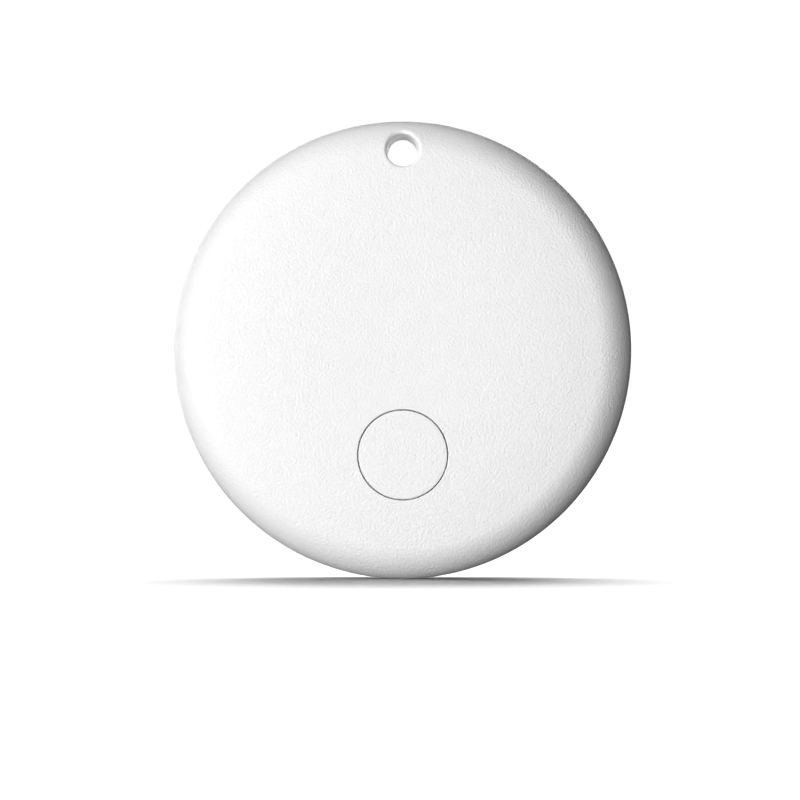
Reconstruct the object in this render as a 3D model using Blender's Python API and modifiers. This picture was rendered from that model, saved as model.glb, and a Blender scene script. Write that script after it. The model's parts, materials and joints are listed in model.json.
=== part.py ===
"""Round Bluetooth tracker tag: a 40 mm pebble-shaped case with a keyring hole and a round push button.

Every piece is drawn in the tag's own drawing frame, as the tag lies on its back on a bench: X to the
right, Y up towards the keyring hole, and Z from the back face (0) to the crown of the front face (8 mm).
The empty "tag_frame" stands the tag up: the front then faces -Y, and the origin is the middle of the
keyring hole, which the tag hangs from.
"""

import math

import bmesh
import bpy
from mathutils import Matrix, Vector

MM = 0.001

# ---- Driving dimensions of the case ----
CASE_RADIUS = 20.0 * MM
CASE_THICKNESS = 8.0 * MM
WALL = 1.1 * MM
DOME_DROP = 0.65 * MM  # how far the front face falls from its crown to where the edge begins
DOME_POWER = 4  # the fall grows with this power of the radius
DOME_SHARES = (0.0, 0.45, 0.68, 0.86, 1.0)  # where the dome's outline has its points
EDGE_INSET = 2.8 * MM  # radial width of the rounded edge
EDGE_HANDLES = (0.55, 0.45)  # fullness of the edge's curve at the dome and at the equator
EQUATOR = 4.2 * MM  # height of the widest circle
SEAM = 3.0 * MM  # height of the joint between the shells, just behind the equator
SEAM_GAP = 0.1 * MM
BACK_FLAT_RADIUS = 16.4 * MM

# ---- Keyring hole ----
HOLE_Y = 17.3 * MM
HOLE_RADIUS = 1.36 * MM
HOLE_TUBE_RADIUS = 2.3 * MM
HOLE_CHAMFER = 0.3 * MM
MOUTH_DEPTH = 0.45 * MM  # the chamfer's cone reaches this far into the surface
MOUTH_HEIGHT = 1.2 * MM  # and this far out of it
MOUTH_OVERLAP = 0.02 * MM  # its narrow end is this much smaller than the hole
TUBE_CLEARANCE = 0.3 * MM
TUBE_START = 0.5 * MM
CORE_INSET = 0.4 * MM  # the tube stays this far under the case's surface before it is joined on

# ---- Joint between the shells ----
SEAM_STEP = 0.6 * MM  # height above the seam where the front shell's edge has one more point
FRONT_WALL_RADIUS = 18.75 * MM
INNER_EXTRA = 0.15 * MM  # the front shell's wall is this much thicker under the dome
LIP_INNER = 17.8 * MM
LIP_OUTER = 18.6 * MM
LIP_TOP = 4.1 * MM
SNAPS = 4
SNAP_MIDDLE = 45.0
SNAP_SOCKET = dict(inner=18.5 * MM, outer=19.1 * MM, low=3.5 * MM, high=3.95 * MM, angle=18.0)
SNAP_BEAD = dict(inner=18.3 * MM, outer=18.9 * MM, low=3.6 * MM, high=3.85 * MM, angle=14.0)

# ---- Button ----
BUTTON_Y = -9.1 * MM
BUTTON_RADIUS = 3.83 * MM
BUTTON_GAP = 0.12 * MM
BUTTON_FLANGE_RADIUS = 4.5 * MM
BUTTON_SEAT = 6.8 * MM  # height of the flat seat inside the front shell that stops the flange
BUTTON_FLANGE_TOP = 6.72 * MM
BUTTON_BOTTOM = 6.4 * MM
BUTTON_POCKET_RADIUS = 4.8 * MM
BUTTON_GUIDE_RADIUS = 5.35 * MM
BUTTON_GUIDE_START = 6.2 * MM
BUTTON_GUIDE_END = 7.1 * MM
BUTTON_STOCK = 0.5 * MM  # the cap is made this much too tall, then cut to the dome

# ---- Switch under the button ----
SWITCH_SIDE = 4.5 * MM
SWITCH_BASE = 0.52 * MM
SWITCH_FLOOR = 0.17 * MM
SWITCH_POCKET_RADIUS = 1.75 * MM
SWITCH_DOME = dict(radius=1.6 * MM, low=5.66 * MM, rise=0.2 * MM, thickness=0.06 * MM)
SWITCH_COVER_BACK = 5.99 * MM
SWITCH_COVER = 0.09 * MM
SWITCH_COVER_HOLE = 1.05 * MM
STEM_RADIUS = 0.9 * MM
STEM_BACK = 5.96 * MM
STEM_FRONT = 6.35 * MM

# ---- Circuit board ----
BOARD_RADIUS = 16.2 * MM
BOARD_BACK = 4.8 * MM
BOARD_FRONT = 5.4 * MM
SOLDER = 0.03 * MM  # height of the solder gap under a part
CHIP_EDGE = 0.05  # millimetres, like the three tables below
CHIPS = (  # name, size, x, y, turn in degrees
    ("radio_chip", (5.0, 5.0, 0.6), -11.6, 1.4, 0),
    ("motion_sensor", (2.0, 2.0, 0.6), 11.0, -5.4, 0),
    ("buzzer_driver", (2.0, 1.3, 0.6), 11.2, -1.6, 0),
)
CRYSTALS = (
    ("radio_crystal", (2.0, 1.6, 0.5), -11.2, 6.2, 0),
    ("clock_crystal", (3.2, 1.5, 0.6), -11.6, -3.6, 8),
)
CAPACITOR = (1.6, 0.8, 0.5)
CAPACITORS = ((-9.6, -5.7, 0), (-7.7, -6.6, 90), (8.0, -6.4, 90), (10.9, 7.6, 40), (-7.0, -13.4, 0))
RESISTOR = (1.0, 0.5, 0.3)
RESISTORS = ((-12.5, -6.2, 20), (7.6, -12.6, 0), (13.9, 1.4, 90))
COIL_X = 11.4 * MM
COIL_Y = 3.2 * MM
COIL_HEIGHT = 0.8 * MM
COIL_FLANGE = 0.2 * MM
COIL_FLANGE_RADIUS = 1.5 * MM
COIL_DRUM_RADIUS = 0.7 * MM
WINDING_RADIUS = 1.35 * MM
WINDING_GAP = 0.05 * MM
RESERVOIR = (2.5 * MM, 3.2 * MM, 0.9 * MM)
RESERVOIR_X = 13.2 * MM
RESERVOIR_Y = -2.6 * MM
TRACE_BACK = 0.01 * MM
TRACE_FRONT = 0.05 * MM
TRACE = dict(inner=15.2 * MM, outer=15.8 * MM, middle=191.0, angle=58.0, steps=10)
TRACE_FEED = dict(inner=14.3 * MM, outer=15.4 * MM, middle=175.0, angle=2.0, steps=1)
SCREW_X = 9.1 * MM
SCREW_Y = 10.9 * MM
SCREW_RADIUS = 0.65 * MM
SCREW_HEAD_RADIUS = 1.1 * MM
SCREW_HEAD = 0.5 * MM
SCREW_HEAD_FLAT = 0.75  # share of the head's radius that is flat
SCREW_HEAD_EDGE = 0.2 * MM
SCREW_SLOT = (1.3 * MM, 0.25 * MM, 0.6 * MM)
SCREW_SLOT_DEPTH = 0.3 * MM
SCREW_TIP_RADIUS = 0.3 * MM
SCREW_TIP = 6.35 * MM
SCREW_TAPER = 6.0 * MM
PILOT_CLEARANCE = 0.08 * MM
PILOT_END = 6.5 * MM
BOARD_HOLE_CLEARANCE = 0.12 * MM
BOSS_RADIUS = 1.35 * MM
BOSS_GAP = 0.05 * MM
BOSS_END = 6.95 * MM

# ---- Buzzer ----
BUZZER_Y = 4.9 * MM
BUZZER_RADIUS = 7.5 * MM
BUZZER_SEAT = 6.55 * MM
BUZZER_PLATE_TOP = 6.41 * MM
BUZZER_PLATE = 0.2 * MM
BUZZER_CERAMIC_RADIUS = 5.2 * MM
BUZZER_CERAMIC = 0.16 * MM
BUZZER_BOND_INNER = 6.5 * MM
BUZZER_BOND_OUTER = 7.4 * MM
BUZZER_POCKET_RADIUS = 7.65 * MM
BUZZER_CAVITY_RADIUS = 6.3 * MM
BUZZER_CAVITY_TOP = 6.85 * MM
BUZZER_RING_RADIUS = 8.2 * MM
BUZZER_RING_START = 6.25 * MM
BUZZER_RING_END = 7.0 * MM
TOUCH = 0.02 * MM  # gap between pieces that bear on each other
FINGER_SHEET = 0.08 * MM
FINGER_WIDTH = 0.9 * MM
FINGER_REACH = 0.7 * MM
FINGER_BEND = 0.5 * MM  # distance from the finger's middle to where its bend begins
FINGER_TIP = ((0.5 * MM, 0.04 * MM), (-0.2 * MM, 0.0), (-0.7 * MM, 0.1 * MM))  # x, drop from the top
PLATE_FINGER_X = -6.35 * MM
CERAMIC_FINGER_X = 1.5 * MM

# ---- Coin cell, 20 mm across and 3.2 mm thick ----
CELL_RADIUS = 10.0 * MM
CELL_BOTTOM = 1.0 * MM
CELL_TOP = 4.2 * MM
CAN = (  # from the can's radius inwards, and from its bottom (positive) or the cell's top (negative)
    (0.25 * MM, 0.0),
    (0.0, 0.25 * MM),
    (0.0, -0.45 * MM),
    (0.35 * MM, -0.14 * MM),
    (0.75 * MM, -0.14 * MM),
    (0.75 * MM, -0.3 * MM),
    (0.3 * MM, -0.6 * MM),
    (0.3 * MM, 0.3 * MM),
)
GASKET = (
    (0.35 * MM, 0.35 * MM),
    (0.35 * MM, -0.62 * MM),
    (0.8 * MM, -0.32 * MM),
    (0.8 * MM, -0.18 * MM),
    (1.05 * MM, -0.18 * MM),
    (1.05 * MM, -0.4 * MM),
    (0.65 * MM, -0.75 * MM),
    (0.65 * MM, 0.35 * MM),
)
CAP = (
    (1.15 * MM, -0.2 * MM),
    (1.15 * MM, -0.42 * MM),
    (0.72 * MM, -0.8 * MM),
    (0.72 * MM, 0.45 * MM),
    (0.97 * MM, 0.45 * MM),
    (0.97 * MM, -0.9 * MM),
    (1.4 * MM, -0.25 * MM),
)
CAP_SHEET = 0.25 * MM
CAP_FLAT_INSET = 1.35 * MM
CELL_LAYERS = (  # name, radius, start and end above the can's bottom
    ("cell_cathode", 8.6 * MM, 0.34 * MM, 2.0 * MM),
    ("cell_separator", 8.8 * MM, 2.04 * MM, 2.2 * MM),
    ("cell_anode", 8.0 * MM, 2.24 * MM, 2.9 * MM),
)

# ---- Battery contacts ----
LEAF_SHEET = 0.12 * MM
LEAF_GAP = 0.04 * MM  # between the upper leaf and the cell's cap
NEGATIVE_WIDTH = 2.6 * MM
NEGATIVE_FOOT = ((-4.0 * MM, 0.0), (-1.6 * MM, 0.0), (-0.8 * MM, -0.06 * MM))  # x, height from the board
NEGATIVE_TIP = (  # x, height from the tip
    (1.6 * MM, 0.08 * MM),
    (2.6 * MM, 0.0),
    (3.4 * MM, 0.05 * MM),
    (4.0 * MM, 0.2 * MM),
)
POSITIVE_WIDTH = 1.8 * MM
POSITIVE_FOOT = ((-12.9 * MM, 0.0), (-11.2 * MM, 0.0), (-10.75 * MM, -0.35 * MM))
POSITIVE_TOUCH = (3.75 * MM, 3.55 * MM)  # heights where the leaf bears on the can
POSITIVE_TIP = (-10.6 * MM, 3.15 * MM)
SIDE_GAP = 0.06 * MM

# ---- Battery door, a bayonet cover with three lugs ----
DOOR_RADIUS = 12.9 * MM
DOOR_RECESS_RADIUS = 13.05 * MM
DOOR_FACE = 0.1 * MM
DOOR_INSIDE = 0.9 * MM
DOOR_SHOULDER_RADIUS = 12.05 * MM
DOOR_SHOULDER = 1.15 * MM
SKIRT_INNER = 10.35 * MM
SKIRT_OUTER = 11.1 * MM
SKIRT_END = 2.8 * MM
LUG_RADIUS = 11.85 * MM
LUG_BACK = 2.25 * MM  # height of a lug's helical face at its middle
LUG_ANGLE = 12.0
LEDGE_ANGLE = 14.0
LEDGE_INNER = 11.25 * MM
LEDGE_CLEARANCE = 0.05 * MM
LEDGE_ROOT = 0.4 * MM  # how far a ledge reaches into the channel's wall
LUG_ROOT = 0.3 * MM  # how far a lug reaches into the skirt
CHANNEL_RADIUS = 12.0 * MM
SHELF = 1.45 * MM
BAYONETS = 3
FIRST_BAYONET = 30.0
DOOR_TURN = 90.0
DOOR_LIFT = 2.85 * MM
HELIX_RISE = DOOR_LIFT / DOOR_TURN  # metres for each degree
DOOR_CHAMFER = 0.15 * MM
SLOT_LENGTH = 9.0 * MM
SLOT_WIDTH = 1.7 * MM
SLOT_DEPTH = 0.45 * MM
SEAL_RADIUS = 12.36 * MM
SEAL_THICKNESS = 0.5 * MM

# ---- Cell guide inside the rear shell ----
GUIDE_INNER = 10.3 * MM
GUIDE_OUTER = 11.2 * MM
GUIDE_START = 2.95 * MM
GUIDE_FLOOR = 4.5 * MM
GUIDE_END = 4.68 * MM
GUIDE_STEP = 1.0 * MM
COLLAR_RADIUS = 14.0 * MM
COLLAR_TOP = 3.75 * MM
REAR_INSIDE = ((16.0 * MM, WALL), (17.4 * MM, 1.7 * MM), (LIP_INNER, 2.5 * MM))
CONTACT_WINDOW = (3.6 * MM, 2.8 * MM, 2.4 * MM)
CONTACT_WINDOW_X = -11.6 * MM
CONTACT_WINDOW_BACK = 2.85 * MM

ROUND = 64  # facets of the large turned pieces
CELL_ROUND = 40
SMALL_ROUND = 20
RING_ROUND = 48  # facets of the button's and the buzzer's rings
WELD = 0.00001

parts = None
cutters = None
frame = None


# ======== Scene and materials ========
def clear_scene():
    for old in list(bpy.data.objects):
        bpy.data.objects.remove(old, do_unlink=True)


def new_collection(name):
    collection = bpy.data.collections.new(name)
    bpy.context.scene.collection.children.link(collection)
    return collection


def material(name, colour, roughness, metallic=0.0):
    made = bpy.data.materials.get(name) or bpy.data.materials.new(name)
    made.use_nodes = True
    shader = made.node_tree.nodes["Principled BSDF"]
    shader.inputs["Base Color"].default_value = (*colour, 1.0)
    shader.inputs["Roughness"].default_value = roughness
    shader.inputs["Metallic"].default_value = metallic
    made.diffuse_color = (*colour, 1.0)
    return made


def shell_plastic():
    return material("shell_plastic", (0.87, 0.87, 0.87), 0.5)


def seal_rubber():
    return material("seal_rubber", (0.12, 0.12, 0.13), 0.6)


def board_laminate():
    return material("board_laminate", (0.02, 0.16, 0.08), 0.4)


def chip_resin():
    return material("chip_resin", (0.03, 0.03, 0.035), 0.45)


def tin_plate():
    return material("tin_plate", (0.72, 0.72, 0.70), 0.3, 1.0)


def spring_steel():
    return material("spring_steel", (0.70, 0.69, 0.66), 0.25, 1.0)


def gold_plate():
    return material("gold_plate", (0.85, 0.62, 0.25), 0.25, 1.0)


def brass_plate():
    return material("brass_plate", (0.78, 0.60, 0.28), 0.3, 1.0)


def copper_wire():
    return material("copper_wire", (0.72, 0.35, 0.18), 0.3, 1.0)


def ceramic():
    return material("ceramic", (0.80, 0.77, 0.68), 0.5)


def capacitor_ceramic():
    return material("capacitor_ceramic", (0.50, 0.36, 0.24), 0.5)


def tape():
    return material("tape", (0.75, 0.75, 0.72), 0.7)


def switch_plastic():
    return material("switch_plastic", (0.10, 0.10, 0.10), 0.5)


def cell_mass():
    return material("cell_mass", (0.10, 0.10, 0.11), 0.9)


# ======== Building blocks ========
def add_part(name, mesh, finish):
    """A finished piece in the parts collection, placed by the tag's frame."""
    piece = bpy.data.objects.new(name, mesh)
    parts.objects.link(piece)
    piece.parent = frame
    mesh.materials.append(finish)
    return piece


def add_tool(name, mesh):
    """A helper for a Boolean: it is in the same frame, and isn't rendered."""
    tool = bpy.data.objects.new(name, mesh)
    cutters.objects.link(tool)
    tool.parent = frame
    tool.hide_render = True
    tool.display_type = "WIRE"
    return tool


def shade_round(mesh, sharp_from=35.0):
    mesh.shade_smooth()
    mesh.set_sharp_from_angle(angle=math.radians(sharp_from))


def mesh_from(bm, name):
    mesh = bpy.data.meshes.new(name)
    bm.to_mesh(mesh)
    bm.free()
    return mesh


def runs_up_outside(profile):
    """Whether the closed profile turns anticlockwise with radius to the right and height up."""
    pairs = zip(profile, profile[1:] + profile[:1])
    return sum(r0 * z1 - r1 * z0 for (r0, z0), (r1, z1) in pairs) > 0


def turned_mesh(name, profile, steps=ROUND):
    """The solid of revolution of a closed (radius, height) profile, made by a Screw modifier.
    A profile with its two ends on the axis is closed by the axis itself."""
    if runs_up_outside(profile):
        profile = profile[::-1]
    on_axis = [i for i, (radius, _) in enumerate(profile) if radius == 0]
    if on_axis:
        start = next(i for i in on_axis if (i - 1) % len(profile) in on_axis)
        profile = profile[start:] + profile[:start]
    edges = [(i, i + 1) for i in range(len(profile) - 1)]
    if not on_axis:
        edges.append((len(profile) - 1, 0))
    outline = bpy.data.meshes.new(name + "_profile")
    outline.from_pydata([(radius, 0, height) for radius, height in profile], edges, [])
    spun = bpy.data.objects.new(name + "_profile", outline)
    bpy.context.scene.collection.objects.link(spun)
    screw = spun.modifiers.new("turn", "SCREW")
    screw.axis = "Z"
    screw.angle = 2 * math.pi
    screw.steps = screw.render_steps = steps
    screw.use_merge_vertices = True
    screw.merge_threshold = WELD
    bpy.context.view_layer.update()
    graph = bpy.context.evaluated_depsgraph_get()
    mesh = bpy.data.meshes.new_from_object(spun.evaluated_get(graph))
    mesh.name = name
    bpy.data.objects.remove(spun)
    bpy.data.meshes.remove(outline)
    shade_round(mesh)
    return mesh


def cylinder_mesh(name, radius, low, high, steps=SMALL_ROUND, high_radius=None):
    """A cylinder about Z from height low to height high, or a cone if high_radius is given."""
    bm = bmesh.new()
    bmesh.ops.create_cone(
        bm,
        cap_ends=True,
        segments=steps,
        radius1=radius,
        radius2=radius if high_radius is None else high_radius,
        depth=high - low,
        matrix=Matrix.Translation((0, 0, (low + high) / 2)),
    )
    mesh = mesh_from(bm, name)
    shade_round(mesh)
    return mesh


def block_mesh(name, size, low):
    """A box centred on X and Y that stands on height low."""
    bm = bmesh.new()
    bmesh.ops.create_cube(bm, size=1.0)
    bmesh.ops.scale(bm, vec=size, verts=bm.verts)
    bmesh.ops.translate(bm, vec=(0, 0, low + size[2] / 2), verts=bm.verts)
    return mesh_from(bm, name)


def arc_block_mesh(name, inner, outer, low, high, middle, angle, count=1, steps=4):
    """Blocks bent round Z, each angle degrees long. low and high are heights, or functions of the
    angle from the block's middle in degrees, so that a face can climb as a helix."""
    bm = bmesh.new()
    for copy in range(count):
        centre = middle + copy * 360.0 / count
        rings = []
        for step in range(steps + 1):
            offset = angle * (step / steps - 0.5)
            turn = math.radians(centre + offset)
            bottom = low(offset) if callable(low) else low
            top = high(offset) if callable(high) else high
            corners = ((inner, bottom), (outer, bottom), (outer, top), (inner, top))
            rings.append(
                [bm.verts.new((r * math.cos(turn), r * math.sin(turn), z)) for r, z in corners]
            )
        bm.faces.new(rings[0])
        bm.faces.new(rings[-1][::-1])
        for before, after in zip(rings, rings[1:]):
            for side in range(4):
                bm.faces.new(
                    (before[side], after[side], after[(side + 1) % 4], before[(side + 1) % 4])
                )
    bmesh.ops.recalc_face_normals(bm, faces=bm.faces)
    return mesh_from(bm, name)


def ribbon(name, path, width, thickness, finish):
    """A bent metal strip: the (x, height) path, widened along Y and thickened by Solidify."""
    bm = bmesh.new()
    sides = [[bm.verts.new((x, y, z)) for x, z in path] for y in (-width / 2, width / 2)]
    for i in range(len(path) - 1):
        bm.faces.new((sides[0][i], sides[0][i + 1], sides[1][i + 1], sides[1][i]))
    strip = add_part(name, mesh_from(bm, name), finish)
    thick = strip.modifiers.new("sheet", "SOLIDIFY")
    thick.thickness = thickness
    thick.offset = 0
    thick.use_even_offset = True
    return strip


def boolean(target, operation, tool):
    step = target.modifiers.new(tool.name, "BOOLEAN")
    step.operation = operation
    step.object = tool
    step.solver = "EXACT"


def cut(target, tool):
    boolean(target, "DIFFERENCE", tool)


def join(target, tool):
    boolean(target, "UNION", tool)


def keep_inside(target, tool):
    boolean(target, "INTERSECT", tool)


def place(piece, x=0.0, y=0.0, z=0.0, turn=0.0):
    piece.location = (x, y, z)
    piece.rotation_euler = (0, 0, math.radians(turn))
    return piece


def soften(piece, width, segments=1):
    bevel = piece.modifiers.new("soft_edges", "BEVEL")
    bevel.width = width
    bevel.segments = segments
    bevel.limit_method = "ANGLE"
    bevel.angle_limit = math.radians(40)
    return piece


# ======== Outline of the case ========
def bezier(start, out_of_start, into_end, end, steps):
    """Points on a cubic curve, without its first point."""
    points = []
    for step in range(1, steps + 1):
        t = step / steps
        weights = ((1 - t) ** 3, 3 * t * (1 - t) ** 2, 3 * t * t * (1 - t), t**3)
        corners = (start, out_of_start, into_end, end)
        points.append(tuple(sum(w * p[k] for w, p in zip(weights, corners)) for k in (0, 1)))
    return points


def front_outline(inset, steps=6):
    """The front face from the axis to the equator, moved inwards by inset, as (radius, height)."""
    edge_start = CASE_RADIUS - EDGE_INSET - 0.25 * inset
    crown = CASE_THICKNESS - inset
    dome = [(edge_start * share, crown - DOME_DROP * share**DOME_POWER) for share in DOME_SHARES]
    slope = -DOME_POWER * DOME_DROP / edge_start
    rim = CASE_RADIUS - inset
    run = EDGE_HANDLES[0] * (rim - edge_start)
    rise = EDGE_HANDLES[1] * (dome[-1][1] - EQUATOR)
    leaving = (edge_start + run, dome[-1][1] + slope * run)
    return dome + bezier(dome[-1], leaving, (rim, EQUATOR + rise), (rim, EQUATOR), steps)


def rear_radius(height, inset=0.0):
    """Radius of the rear half's rounded edge at a height, an ellipse from the equator to the back."""
    drop = (EQUATOR - height) / (EQUATOR - inset)
    width = CASE_RADIUS - inset - BACK_FLAT_RADIUS
    return BACK_FLAT_RADIUS + width * math.sqrt(max(0.0, 1 - drop * drop))


def rear_outline(top, inset=0.0, steps=6):
    """The rear edge from height top down to the back's flat, as (radius, height)."""
    first = math.asin((EQUATOR - top) / (EQUATOR - inset))
    heights = [
        EQUATOR - (EQUATOR - inset) * math.sin(first + (math.pi / 2 - first) * step / steps)
        for step in range(steps + 1)
    ]
    return [(rear_radius(height, inset), height) for height in heights]


def height_at(outline, radius):
    """Height of an outline at a radius, by straight lines between its points."""
    for (r0, z0), (r1, z1) in zip(outline, outline[1:]):
        if r0 <= radius <= r1:
            return z0 + (z1 - z0) * (radius - r0) / (r1 - r0)
    raise ValueError("the radius is outside the outline")


def envelope_mesh(name, inset):
    """The whole case as one solid, moved inwards by inset."""
    outline = front_outline(inset) + rear_outline(EQUATOR, inset)[1:] + [(0.0, inset)]
    return turned_mesh(name, outline)


# ======== Case ========
def keyring_tools(tag, low, high):
    """The tube round the keyring hole between two heights, and the bore through it."""
    tube = add_tool(f"{tag}_tube", cylinder_mesh("tube", HOLE_TUBE_RADIUS, low, high))
    place(tube, y=HOLE_Y)
    keep_inside(tube, add_tool(f"{tag}_core", envelope_mesh("core", CORE_INSET)))
    bore = add_tool(
        f"{tag}_bore", cylinder_mesh("bore", HOLE_RADIUS, -MM, CASE_THICKNESS + MM, 32)
    )
    return tube, place(bore, y=HOLE_Y)


def mouth_cone(tag, surface, faces_front):
    """A shallow cone, square to the sloping surface, that breaks the edge of the keyring hole."""
    inner, outer = HOLE_Y - HOLE_RADIUS, HOLE_Y + HOLE_RADIUS
    rise = surface(outer) - surface(inner)
    lean = math.atan2(rise, outer - inner)
    out = 1 if faces_front else -1
    narrow, wide = HOLE_RADIUS - MOUTH_OVERLAP, HOLE_RADIUS + HOLE_CHAMFER
    flare = wide + (wide - narrow) * MOUTH_HEIGHT / MOUTH_DEPTH
    mesh = cylinder_mesh("mouth", narrow, -MOUTH_DEPTH, MOUTH_HEIGHT, 32, high_radius=flare)
    cone = add_tool(f"{tag}_mouth", mesh)
    cone.location = (0, HOLE_Y, (surface(inner) + surface(outer)) / 2)
    cone.rotation_euler = (lean if out > 0 else math.pi + lean, 0, 0)
    return cone


def rear_height(radius):
    """Height of the rear edge's surface at a radius."""
    if radius <= BACK_FLAT_RADIUS:
        return 0.0
    share = (radius - BACK_FLAT_RADIUS) / (CASE_RADIUS - BACK_FLAT_RADIUS)
    return EQUATOR * (1 - math.sqrt(1 - share * share))


def front_shell():
    """The front half: the domed face, the rounded edge and the wall down to the seam."""
    seam = SEAM + SEAM_GAP / 2
    outer = front_outline(0.0) + [(rear_radius(z), z) for z in (SEAM + SEAM_STEP, seam)]
    inner = front_outline(WALL + INNER_EXTRA, steps=3)[1:-1]
    inner = [(0.0, CASE_THICKNESS - WALL)] + [(r, z) for r, z in inner if z > LIP_TOP]
    mouth = [(FRONT_WALL_RADIUS, seam), (FRONT_WALL_RADIUS, EQUATOR)]
    profile = outer + mouth + inner[::-1]
    shell = add_part("front_shell", turned_mesh("front_shell", profile), shell_plastic())

    tube, bore = keyring_tools("front", seam, CASE_THICKNESS)
    join(shell, tube)
    build_up_front(shell)
    hollow_front(shell)
    cut(shell, bore)
    cut(shell, mouth_cone("front", lambda r: height_at(front_outline(0.0), r), True))
    cut(shell, snap_tool("snap_sockets", SNAP_SOCKET))
    return shell


def build_up_front(shell):
    """Adds the button's guide, the buzzer's ring and the screw bosses behind the face."""
    for name, radius, low, high, y in (
        ("button_guide", BUTTON_GUIDE_RADIUS, BUTTON_GUIDE_START, BUTTON_GUIDE_END, BUTTON_Y),
        ("buzzer_ring", BUZZER_RING_RADIUS, BUZZER_RING_START, BUZZER_RING_END, BUZZER_Y),
    ):
        join(shell, place(add_tool(name, cylinder_mesh(name, radius, low, high, RING_ROUND)), y=y))
    for number, (x, y) in enumerate(screw_places(), 1):
        boss = cylinder_mesh("boss", BOSS_RADIUS, BOARD_FRONT + BOSS_GAP, BOSS_END)
        join(shell, place(add_tool(f"boss_{number}", boss), x, y))


def hollow_front(shell):
    """Cuts the button's seat and opening, the buzzer's seat and cavity, and the screws' pilots."""
    for name, radius, top, y in (
        ("button_seat", BUTTON_POCKET_RADIUS, BUTTON_SEAT, BUTTON_Y),
        ("button_opening", BUTTON_RADIUS + BUTTON_GAP, CASE_THICKNESS + MM, BUTTON_Y),
        ("buzzer_seat", BUZZER_POCKET_RADIUS, BUZZER_SEAT, BUZZER_Y),
        ("buzzer_cavity", BUZZER_CAVITY_RADIUS, BUZZER_CAVITY_TOP, BUZZER_Y),
    ):
        tool = add_tool(name, cylinder_mesh(name, radius, BOARD_FRONT, top, RING_ROUND))
        cut(shell, place(tool, y=y))
    for number, (x, y) in enumerate(screw_places(), 1):
        pilot = cylinder_mesh("pilot", SCREW_RADIUS + PILOT_CLEARANCE, BOARD_FRONT, PILOT_END, 16)
        cut(shell, place(add_tool(f"pilot_{number}", pilot), x, y))


def snap_tool(name, size):
    return add_tool(name, arc_block_mesh(name, middle=SNAP_MIDDLE, count=SNAPS, **size))


def rear_shell():
    """The rear half: the flat back with the door's recess, the bayonet ledges and the cell guide."""
    seam = SEAM - SEAM_GAP / 2
    profile = rear_outline(seam) + [
        (DOOR_RECESS_RADIUS, 0.0),
        (DOOR_RECESS_RADIUS, SHELF),
        (CHANNEL_RADIUS, SHELF),
        (CHANNEL_RADIUS, GUIDE_START),
        (GUIDE_INNER, GUIDE_START),
        (GUIDE_INNER, GUIDE_FLOOR),
        (GUIDE_INNER - GUIDE_STEP, GUIDE_FLOOR),
        (GUIDE_INNER - GUIDE_STEP, GUIDE_END),
        (GUIDE_OUTER, GUIDE_END),
        (GUIDE_OUTER, COLLAR_TOP),
        (COLLAR_RADIUS, COLLAR_TOP),
        (COLLAR_RADIUS, WALL),
        *REAR_INSIDE,
        (LIP_INNER, LIP_TOP),
        (LIP_OUTER, LIP_TOP),
        (LIP_OUTER, seam),
    ]
    shell = add_part("rear_shell", turned_mesh("rear_shell", profile), shell_plastic())

    gap = cylinder_mesh("lip_gap", HOLE_TUBE_RADIUS + TUBE_CLEARANCE, seam, LIP_TOP + MM)
    cut(shell, place(add_tool("lip_gap", gap), y=HOLE_Y))
    tube, bore = keyring_tools("rear", TUBE_START, seam)
    join(shell, tube)
    cut(shell, bore)
    cut(shell, mouth_cone("rear", rear_height, False))
    join(shell, bayonet_ledges())
    join(shell, snap_tool("snap_beads", SNAP_BEAD))
    window = block_mesh("contact_window", CONTACT_WINDOW, CONTACT_WINDOW_BACK)
    cut(shell, place(add_tool("contact_window", window), x=CONTACT_WINDOW_X))
    return shell


def bayonet_ledges():
    """The helical ledges that the door's lugs pull against."""
    ledges = arc_block_mesh(
        "bayonet_ledges",
        LEDGE_INNER,
        CHANNEL_RADIUS + LEDGE_ROOT,
        SHELF + TOUCH,
        lambda offset: LUG_BACK - LEDGE_CLEARANCE + HELIX_RISE * offset,
        FIRST_BAYONET,
        LEDGE_ANGLE,
        count=BAYONETS,
    )
    return add_tool("bayonet_ledges", ledges)


# ======== Button and switch ========
def button_cap():
    """The round cap, flush with the dome, with a flange that keeps it in the shell."""
    profile = [
        (0.0, CASE_THICKNESS + BUTTON_STOCK),
        (BUTTON_RADIUS, CASE_THICKNESS + BUTTON_STOCK),
        (BUTTON_RADIUS, BUTTON_FLANGE_TOP),
        (BUTTON_FLANGE_RADIUS, BUTTON_FLANGE_TOP),
        (BUTTON_FLANGE_RADIUS, BUTTON_BOTTOM),
        (0.0, BUTTON_BOTTOM),
    ]
    cap = add_part("button_cap", turned_mesh("button_cap", profile, 48), shell_plastic())
    place(cap, y=BUTTON_Y)
    keep_inside(cap, add_tool("case_envelope", envelope_mesh("case_envelope", 0.0)))
    return cap


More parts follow.
